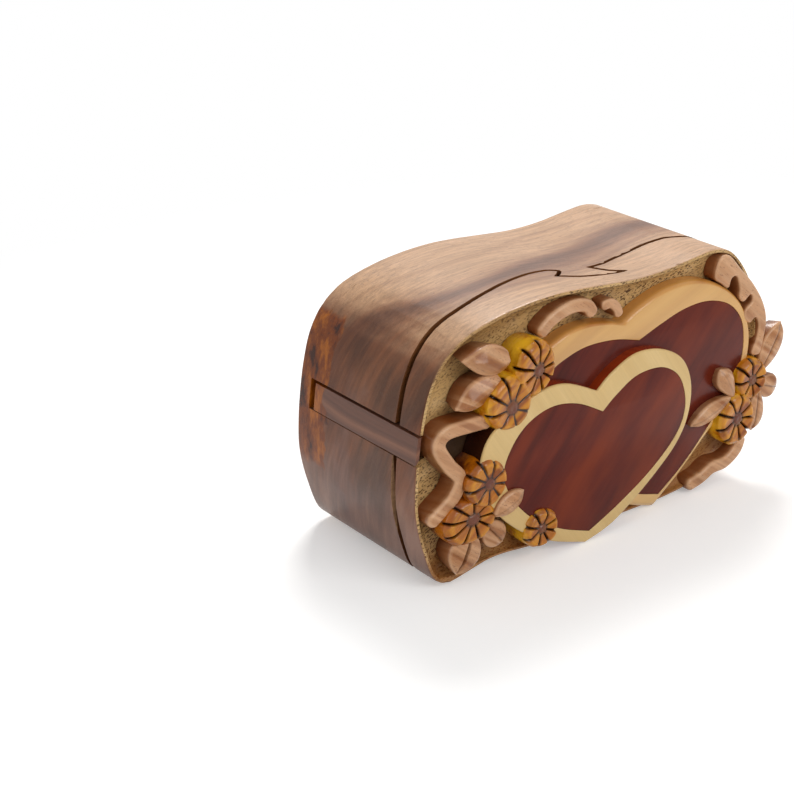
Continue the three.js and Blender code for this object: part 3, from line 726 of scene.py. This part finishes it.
# Hearts: outer edge and inner edge, each from the tip round to the tip
FRONT_OUTER = (
    [(-10.5, -1.2), (-26.7, 4.9), (-41, 14), (-52.5, 26.5), (-58, 40), (-54.6, 53),
     (-44.3, 60.4), (-30, 65.6), (-18, 65.2), (-3.8, 58.3)],
    [(-3.8, 58.3), (3.6, 63.5), (15, 67.6), (27.6, 65.8), (38, 59), (42.4, 48),
     (40.9, 35.3), (35.2, 25.4), (25.5, 16.8), (14.1, 8.8), (2, 2), (-10.5, -1.2)])
FRONT_INNER = (
    [(-8.6, 3), (-22.1, 8.6), (-35, 17.2), (-44, 28), (-47.6, 39), (-43.4, 48.6),
     (-35.6, 55.5), (-24.7, 58.4), (-13, 56), (-1.5, 49.5)],
    [(-1.5, 49.5), (5.1, 54.2), (15.1, 59), (27, 58.8), (35.4, 53.4), (39, 44.6),
     (38.4, 35.6), (33, 27.2), (21.2, 17.8), (6, 9.4), (-8.6, 3)])
REAR_OUTER = (
    [(27.2, -1.2), (10, 6), (-12, 24), (-30, 46), (-33.5, 64), (-27.5, 75), (-16.4, 81),
     (-5.2, 82.6), (5.6, 81), (12.8, 78.6)],
    [(12.8, 78.6), (21.1, 82.7), (34.6, 86.4), (49, 86), (61.7, 81), (72, 72),
     (77.6, 60), (77.4, 48), (73, 37), (65.4, 28.4), (54.6, 19.1), (42.8, 9.4), (27.2, -1.2)])
REAR_INNER = (
    [(30.4, 3.4), (14, 10), (-8, 28), (-24, 48), (-27, 60), (-22, 68.6), (-14, 72.4),
     (-4, 74.3), (9, 73.2), (20.6, 69.8)],
    [(20.6, 69.8), (31, 73.2), (43, 76.2), (55, 76.2), (66, 72), (72.6, 64),
     (74, 54), (72, 44), (67, 35), (58, 26), (46.9, 15.4), (39.8, 9.6), (30.4, 3.4)])


def heart_line(halves, count=70):
    line = []
    for half in halves:
        line += open_curve(half, count)[:-1]
    return line


def heart_border(name, outer, inner, rise, outer_round, inner_round, material, wall=None):
    """A band between two heart lines, rounded along both edges; its flank may differ in wood."""
    outside = heart_line(outer)
    inside = heart_line(inner)
    count = len(outside)
    lines = [[(o, FLOOR_Y) for o in outside]]
    if wall:
        lines += [[(o, level - rise) for o in outside] for level in (1.2, 0.95)]

    def inset_line(start, end, inset, drop):
        return [(a + (b - a) * (inset / (b - a).length), drop - rise) for a, b in zip(start, end)]

    lines += [inset_line(outside, inside, *step) for step in quarter(outer_round)]
    lines += [inset_line(inside, outside, *step) for step in reversed(quarter(inner_round))]
    lines.append([(i, FLOOR_Y) for i in inside])
    points = [(p.x, y, p.y) for line in lines for p, y in line]
    faces = ring_faces(len(lines), count)
    last = (len(lines) - 1) * count
    faces += [(last + k, last + (k + 1) % count, (k + 1) % count, k) for k in range(count)]
    item = piece(name, points, faces, material, "lid", [name], None, 50)
    if wall:
        item.data.materials.append(wall)
        for polygon in item.data.polygons:
            if polygon.center.y * 1000 - ORIGIN[1] > 1 - rise:
                polygon.material_index = 1


def heart_panel(name, inner, rise):
    """The dark inlay inside a border: a slab with a small round along its edge."""
    loop = offset(heart_line(inner), -0.05)
    rings = [(offset(loop, -inset), drop - rise)
             for inset, drop in [(0, FLOOR_Y + rise)] + quarter(0.25, 3)]
    count = len(loop)
    points = [(p.x, y, p.y) for ring, y in rings for p in ring]
    faces = ring_faces(len(rings), count)
    last = (len(rings) - 1) * count
    top = [Vector((p.x, p.y, 0)) for p in rings[-1][0]]
    for tri in geometry.tessellate_polygon([top]):
        faces.append(tuple(last + i for i in tri))
        faces.append(tuple(reversed(tri)))
    piece(name, points, faces, dark_wood, "lid", [name], None, 30)


heart_border("front_heart_border", FRONT_OUTER, FRONT_INNER, 6.5, 0.8, 0.2, cream_wood,
             wall_wood)
heart_panel("front_heart_panel", FRONT_INNER, 6.45)
heart_border("rear_heart_border", REAR_OUTER, REAR_INNER, 1.5, 2.6, 0.2, honey_wood)
heart_panel("rear_heart_panel", REAR_INNER, 1.45)


def flower(name, x, z, wide, high, rise, petals, hub=(0.9, -0.9), tip=(0.0, 0.0), deepest=3.0):
    """Round block with a rolled rim: flat petals cut apart by charred wedges, dipping to a button;
    the flank darkens towards its foot as painted shade.

    The grooves go no deeper than the given height, so a heart underneath stays hidden.
    """
    around = petals * 24
    rim_depth = 2.3
    shares = [0.0, 0.08, 0.14, 0.18, 0.21, 0.25, 0.32, 0.4, 0.48, 0.56, 0.64, 0.71, 0.77, 0.82,
              0.86, 0.9, 0.93, 0.96, 0.985, 1.0]
    start = random.uniform(0, 0.9)
    size = [random.uniform(0.96, 1.04) for _ in range(petals)]
    tilt = [random.uniform(-0.45, 0.45) for _ in range(petals)]
    depth = [random.uniform(0.8, 1.2) for _ in range(petals)]
    points, burn_and_shade, edge, face, middle = [], [], [], [], []

    def add(spot, burn_and_shade_share, edge_share, face_share, middle_share):
        points.append(spot)
        burn_and_shade.append(burn_and_shade_share)
        edge.append(edge_share)
        face.append(face_share)
        middle.append(middle_share)

    def petal_at(k):
        turn = k / around * petals
        which = int(turn) % petals
        return which, (turn - int(turn)) * 2 - 1, 2 * math.pi * (turn + start) / petals

    for share in shares:
        open_share = min(1, max(0, (share - 0.2) / 0.1))
        for k in range(around):
            which, across, angle = petal_at(k)
            lobe = math.sqrt(max(0.0, 1 - abs(across) ** 3))
            bigness = size[which] * (1 - abs(across) ** 3) + abs(across) ** 3
            reach = (0.94 + 0.06 * lobe * share) * (share + (1 - share) * 0.04) * bigness
            off = (1 - abs(across)) * math.pi / petals * reach * (wide + high) / 2
            cut = max(0.0, 1 - off / (0.34 + 0.62 * share)) * open_share
            groove = (0.8 + 1.0 * share) * depth[which if across > 0 else which - 1] * cut
            bowl = 2.2 * max(0.0, 1 - share) ** 1.3
            roll = rim_depth * max(0.0, (share - 0.74) / 0.26) ** 2.2
            button = 0.9 * max(0.0, 1 - (share / 0.2) ** 3)
            lean = tilt[which] * share * across * 0.8 + tilt[which - 2] * 0.5 * share
            dx = wide * reach * math.cos(angle) + hub[0] * (1 - share)
            dz = high * reach * math.sin(angle) + hub[1] * (1 - share)
            y = -rise + bowl + groove + roll - button + lean * (1 - abs(across) ** 4)
            y += tip[0] * dx + tip[1] * dz
            if share < 0.95 and y > -deepest:
                y = -deepest + 0.1 * (y + deepest)
            add((x + dx, max(y, -rise - 1.0), z + dz),
                min(1.0, cut * 1.5 + (0.6 if 0.18 < share < 0.26 else 0)),
                max(0.0, 1 - abs(share - 0.8) / 0.1) * (1 - cut),
                1.0 - 0.6 * max(0.0, (share - 0.86) / 0.14),
                1.0 if share < 0.21 else max(0.0, 1 - (share - 0.21) / 0.3) * 0.5)
    rim = points[-around:]
    rim_cut = burn_and_shade[-around:]
    for share in (0.05, 0.12, 0.22, 0.36, 0.6, 1.0):
        smooth = min(1.0, share / 0.3)
        for k in range(around):
            px, py, pz = rim[k]
            angle = petal_at(k)[2]
            grow = 0.99 + 0.04 * math.sin(math.pi * min(share * 1.3, 1))
            round_x, round_z = x + wide * grow * math.cos(angle), z + high * grow * math.sin(angle)
            level = -rise + rim_depth + tip[0] * (px - x) + tip[1] * (pz - z)
            near = py + (level - py) * smooth
            # The flank darkens towards its foot: painted shade.
            add((px + (round_x - px) * smooth, near + (FLOOR_Y - near) * share,
                 pz + (round_z - pz) * smooth),
                max(rim_cut[k] * (1 - share / 0.16), 0.5 * max(0.0, (share - 0.3) / 0.7)),
                0.0, 0.4 * (1 - smooth), 0.0)
    rows = len(points) // around
    faces = ring_faces(rows, around)
    faces.append(tuple(range(around)))
    last = (rows - 1) * around
    faces.append(tuple(last + k for k in range(around)))
    piece(name, points, faces, petal_wood, "lid", [name],
          {"edge": edge, "burn_and_shade": burn_and_shade, "face": face, "middle": middle}, 60)


flower("flower_upper_left", -44.2, 65.4, 10.2, 10.4, 8.4, 8, (1.2, -2.4), (0.05, -0.04), 6.9)
flower("flower_top_left", -32, 75, 9.6, 10.4, 8, 9, (2.2, -1.6), (0.1, -0.06), 4.5)
flower("flower_middle_left", -55.4, 38, 9, 9.2, 8.4, 9, (1.6, -0.8), (0.02, 0), 6.9)
flower("flower_lower_left", -62.4, 25, 11.6, 9, 7.4, 9, (1.8, 0.2), (0.02, 0))
flower("flower_bottom", -32, 12.4, 7.6, 7.4, 9, 8, (0.6, -0.4), (0, 0), 6.9)
flower("flower_right_upper", 76, 39, 7.9, 8.4, 5.6, 8, (1.2, -0.8))
flower("flower_right_lower", 68, 24.6, 9.4, 10.4, 6.4, 9, (0.8, 0))


def bezier(a, b, c, d, t):
    s = 1 - t
    return a * s ** 3 + b * 3 * s * s * t + c * 3 * s * t * t + d * t ** 3


def leaf(name, base, tip, width, belly, rise, crease=0.9, crown=1.0, slope=0.0, burn_share=0.6,
         ridge=0.4, blunt=0.25, point=0.9, under=0.88):
    """Pointed oval with an eased rim: two facets that meet in a ridge or in a cut vein."""
    base, tip = Vector(base), Vector(tip)
    axis = tip - base
    side = Vector((-axis.y, axis.x)).normalized() * (width / 2)
    belly_at = base + axis * belly
    shoulder = base + axis * 0.86
    along, across = 34, 21
    burn_and_shade, edge, flank_share = [], [], []

    def rim(t, sign):
        return bezier(base + side * blunt * sign, belly_at + side * 1.9 * sign,
                      shoulder + side * point * sign, tip, t)

    rows = []
    for i in range(along + 1):
        t = i / along
        left, right = rim(t, 1), rim(t, -1)
        span = max((left - right).length, 0.01)
        row = []
        for j in range(across):
            v = -1 + 2 * j / (across - 1)
            v = math.copysign(1 - (1 - abs(v)) ** 1.3, v)
            spot = right.lerp(left, (v + 1) / 2)
            margin = (1 - abs(v)) * span / 2
            reach = min(0.9, span / 2 + 1e-6)
            end = min((tip - spot).length, 4.0) / 4.0
            fall = reach * (1 - math.sqrt(max(0.0, 1 - (1 - min(margin / reach, 1)) ** 2)))
            from_vein = abs(v) * span / 2
            vein = crease * max(0.0, 1 - from_vein / 0.9) * min(1, (1 - t) * 5)
            tent = ridge * (1 - (v * v + 0.01) ** 0.5) + (1 - ridge) * (1 - v * v)
            dome = crown * tent * min(1, span / width)
            y = -rise + fall + vein - dome * (0.6 + 0.4 * ridge) + slope * t + (1 - end) * 0.8
            row.append((spot.x, y, spot.y))
            burn_and_shade.append(burn_share * max(0.0, 1 - from_vein / 0.6) * min(1, (1 - t) * 6))
            edge.append(max(0.0, 1 - abs(margin - 0.5) / 0.6) * 0.8)
            # The outermost rim points take part of the flank's painted shade.
            flank_share.append(0.6 if j in (0, across - 1) else 0.0)
        rows.append(row)
    flank = []
    centre = (base + tip) / 2
    for row in rows:
        feet = (centre.lerp(Vector((row[k][0], row[k][2])), under) for k in (0, -1))
        flank.append([(foot.x, LEAF_BACK, foot.y) for foot in feet])
    points = [p for row in rows for p in row]
    faces = ring_faces(along + 1, across, closed=False)
    low = len(points)
    for pair in flank:
        points += pair
        # The flank's feet are darkened and orange-brown: painted shade.
        burn_and_shade += [0.3, 0.3]
        edge += [0.0, 0.0]
        flank_share += [1.0, 1.0]
    for i in range(along):
        faces.append((i * across, (i + 1) * across, low + 2 * (i + 1), low + 2 * i))
        faces.append((i * across + across - 1, low + 2 * i + 1, low + 2 * (i + 1) + 1,
                      (i + 1) * across + across - 1))
        faces.append((low + 2 * i, low + 2 * (i + 1), low + 2 * (i + 1) + 1, low + 2 * i + 1))
    faces.append(tuple(range(across)) + (low + 1, low))
    piece(name, points, faces, leaf_wood, "lid", [name],
          {"edge": edge, "burn_and_shade": burn_and_shade, "flank": flank_share}, 50 - 26 * ridge)


leaf("leaf_top_left", (-44.6, 82), (-62.6, 85.4), 10, 0.42, 6, 0, 3.4, 1.2, burn_share=0,
     ridge=1, blunt=0.7, point=0.3, under=0.72)
leaf("leaf_upper_left", (-47.6, 75.6), (-65.4, 67.6), 9, 0.62, 4.6, 0, 3.2, 0.8, burn_share=0,
     ridge=1, blunt=0.6, point=0.6, under=0.8)
leaf("leaf_middle_left", (-52.9, 24.9), (-39.3, 30.5), 7.2, 0.45, 8, 0.2, 1.8, burn_share=0.3,
     ridge=1)
leaf("leaf_lower_left", (-55.8, 21.4), (-47, 10.9), 9.4, 0.6, 4.6, 0.9)
leaf("leaf_bottom_left", (-60.7, 19.6), (-68, 4.6), 13, 0.45, 4.4, 1.8, 1.6, burn_share=1.0)
leaf("leaf_heart_upper", (66.4, 35), (59.4, 47.6), 7.6, 0.78, 4.6, 0.3, 1.8, burn_share=0.3,
     ridge=1)
leaf("leaf_heart_lower", (65, 34.6), (44.6, 28.2), 6.6, 0.5, 4.4, 0.3, 1.8, burn_share=0.3,
     ridge=1)
leaf("leaf_right_upper", (83, 39.6), (94.4, 57.4), 9.6, 0.55, 2, 0.6, 1.4)
leaf("leaf_right_middle", (79.6, 36), (91.4, 31), 8.8, 0.7, 3.4, 0.6, 1.4)
leaf("leaf_right_lower", (80.4, 33), (77.6, 16.4), 8.4, 0.6, 4, 0.6, 1.4)


def band_outline(line, width):
    """The outline of a band of even width along a line, with rounded ends."""
    count = 16 * (len(line) - 1)
    spots = open_curve(line, count)
    left, right = [], []
    for k, here in enumerate(spots):
        ahead = spots[min(k + 1, count - 1)] - spots[max(k - 1, 0)]
        ahead.normalize()
        side = Vector((-ahead.y, ahead.x))
        near_end = min(k, count - 1 - k) * (spots[1] - spots[0]).length
        half = width / 2 * math.sqrt(max(0.12, 1 - max(0.0, 1 - near_end / (0.4 * width)) ** 2))
        left.append(here + side * half)
        right.append(here - side * half)
    return left + right[::-1]


def ribbon(name, rise, loop, rounding=1.5):
    """A winding band: its outline drawn in by small steps to a rounded front."""
    rings = [(loop, RIBBON_BACK), (loop, rounding + 1.2 - rise)]
    rings += [(offset(loop, -inset), drop - rise) for inset, drop in quarter(rounding)]
    count = len(loop)
    points = [(p.x, y, p.y) for ring, y in rings for p in ring]
    # Painted shade down the flank, and a painted highlight along the rounded top edge.
    flank = [share for share in (1, 0.85, 0.5, 0.2, 0, 0, 0, 0) for _ in loop]
    edge = [share for share in (0, 0, 0.1, 0.5, 0.9, 0.8, 0.5, 0.2) for _ in loop]
    faces = ring_faces(len(rings), count)
    last = (len(rings) - 1) * count
    for tri in geometry.tessellate_polygon([[Vector((p.x, p.y, 0)) for p in rings[-1][0]]]):
        faces.append(tuple(last + i for i in tri))
    for tri in geometry.tessellate_polygon([[Vector((p.x, p.y, 0)) for p in loop]]):
        faces.append(tuple(reversed(tri)))
    piece(name, points, faces, leaf_wood, "lid", [name],
          {"edge": edge, "flank": flank}, 50)


ribbon("ribbon_left", 4.4, band_outline([
    (-50, 59.6), (-60, 60.4), (-69.5, 60.4), (-73, 56), (-69, 48), (-64.4, 41.4),
    (-67.4, 35.4), (-73, 31.6), (-79, 28)], 5.6))
ribbon("ribbon_top", 2, band_outline([
    (-26, 84), (-20, 88.6), (-11, 91), (-3.8, 89.6), (-0.8, 85)], 5.2))
ribbon("ribbon_top_short", 1.6, band_outline([
    (3, 87.4), (7.4, 87.6), (10.4, 85), (11.4, 81.4)], 3.8), 1.0)
ribbon("ribbon_right_upper", 2, closed_curve([
    (58.4, 84.2), (59, 88), (61, 91.6), (65, 92), (72.1, 84.6), (78.8, 76.9),
    (84.2, 67.9), (86, 61), (85, 54), (82.4, 47), (78.6, 48), (81, 54), (81.8, 59.5),
    (80, 62.8), (77, 61.4), (74, 64.6), (74.4, 67.4), (78.2, 70.4), (77.4, 73),
    (73.4, 71), (71.4, 73), (71.4, 77), (69.4, 82.4), (67, 82), (65.4, 78.8), (61.6, 81.4),
], 12), 1.1)
ribbon("ribbon_right_lower", 3, band_outline([
    (73.4, 15.4), (71, 10), (65, 6.4), (58, 6), (52, 3.6), (44.6, 2.2)], 5.4))


# Studio
def seen_directly(n):
    """1 on camera, glossy and transmission rays."""
    paths = n.add("ShaderNodeLightPath").outputs
    seen = n.math("MAXIMUM", paths["Is Camera Ray"], paths["Is Glossy Ray"])
    return n.math("MAXIMUM", seen, paths["Is Transmission Ray"])


def floor_material():
    """Matt near the part, where its shadow falls, and plain white further out."""
    n = Nodes(bpy.data.materials.new("studio_floor"))
    place = n.add("ShaderNodeTexCoord").outputs["Object"]
    seen = seen_directly(n)
    away = n.step(n.length(place), 0.16, 0.42)
    matt = n.add("ShaderNodeBsdfDiffuse", {"Color": grey(0.86)})
    glow = n.add("ShaderNodeEmission", {"Color": grey(1.0), "Strength": 1.0})
    lift = n.add("ShaderNodeEmission", {
        "Color": grey(1.0), "Strength": n.math("MULTIPLY", seen, 0.3)})
    near = n.add("ShaderNodeAddShader", {0: matt.outputs[0], 1: lift.outputs[0]})
    blend = n.add("ShaderNodeMixShader", {
        0: n.math("MULTIPLY", away, seen), 1: near.outputs[0], 2: glow.outputs[0]})
    n.add("ShaderNodeOutputMaterial", {0: blend.outputs[0]})
    return n.owner


def studio():
    mesh = bpy.data.meshes.new("studio_floor")
    size, cells = 6.0, 12
    row = cells + 1
    spots = [(-size + 2 * size * i / cells, -size + 2 * size * j / cells, 0.0)
             for j in range(row) for i in range(row)]
    faces = [(j * row + i, j * row + i + 1, (j + 1) * row + i + 1, (j + 1) * row + i)
             for j in range(cells) for i in range(cells)]
    mesh.from_pydata(spots, [], faces)
    mesh.materials.append(floor_material())
    floor = bpy.data.objects.new("studio_floor", mesh)
    floor.location = (0, 0, -0.0002)
    bpy.context.scene.collection.objects.link(floor)

    world = bpy.data.worlds.new("studio_world")
    bpy.context.scene.world = world
    n = Nodes(world)
    strength = n.add("ShaderNodeMapRange", {
        "Value": seen_directly(n), "To Min": 0.44, "To Max": 1.0})
    sky = n.add("ShaderNodeBackground", {"Color": grey(1.0), "Strength": strength.outputs[0]})
    n.add("ShaderNodeOutputWorld", {0: sky.outputs[0]})


def lamp(name, place, aim, size, power, colour=(1, 1, 1)):
    data = bpy.data.lights.new(name, "AREA")
    data.shape = "RECTANGLE"
    data.size, data.size_y = size
    data.energy = power
    data.color = colour
    item = bpy.data.objects.new(name, data)
    bpy.context.scene.collection.objects.link(item)
    item.location = place
    item.rotation_mode = "QUATERNION"
    item.rotation_quaternion = (Vector(aim) - Vector(place)).to_track_quat("-Z", "Y")


studio()
lamp("key_light", (0.43, 0.56, 0.88), (0, 0, 0.05), (0.4, 0.4), 9.0, (1.0, 0.985, 0.96))
lamp("front_light", (0.1, -1.1, 0.75), (0, 0, 0.05), (0.8, 0.5), 6.1, (1.0, 0.99, 0.97))
lamp("left_light", (-1.0, -0.2, 0.6), (0, 0, 0.05), (0.3, 0.6), 1.2)

# Camera fitted to the photo, with the layout's origin at x = -6.4 mm at that time
PHOTO_SIDE = 794
FOCAL_PIXELS = 1934.5
SENSOR = 36.0
SHIFT = Vector(((ORIGIN[0] + 6.4) / 1000, 0, 0))
EYE = Vector((-0.42865, -0.52667, 0.34224)) + SHIFT
LOOK = Vector((0.5145, 0.7569, -0.4031)).normalized()
RIGHT = Vector((0.8139, -0.5789, -0.0491)).normalized()
RIGHT = (RIGHT - LOOK * RIGHT.dot(LOOK)).normalized()
UP = RIGHT.cross(LOOK).normalized()

camera_data = bpy.data.cameras.new("photo_camera")
camera_data.sensor_width = SENSOR
camera_data.lens = FOCAL_PIXELS / PHOTO_SIDE * SENSOR
camera_data.clip_start = 0.01
camera_data.clip_end = 20
camera = bpy.data.objects.new("photo_camera", camera_data)
bpy.context.scene.collection.objects.link(camera)
turn = Matrix((RIGHT, UP, -LOOK)).transposed().to_4x4()
camera.matrix_world = Matrix.Translation(EYE) @ turn
bpy.context.scene.camera = camera

view = bpy.context.scene.view_settings
view.view_transform = "Standard"
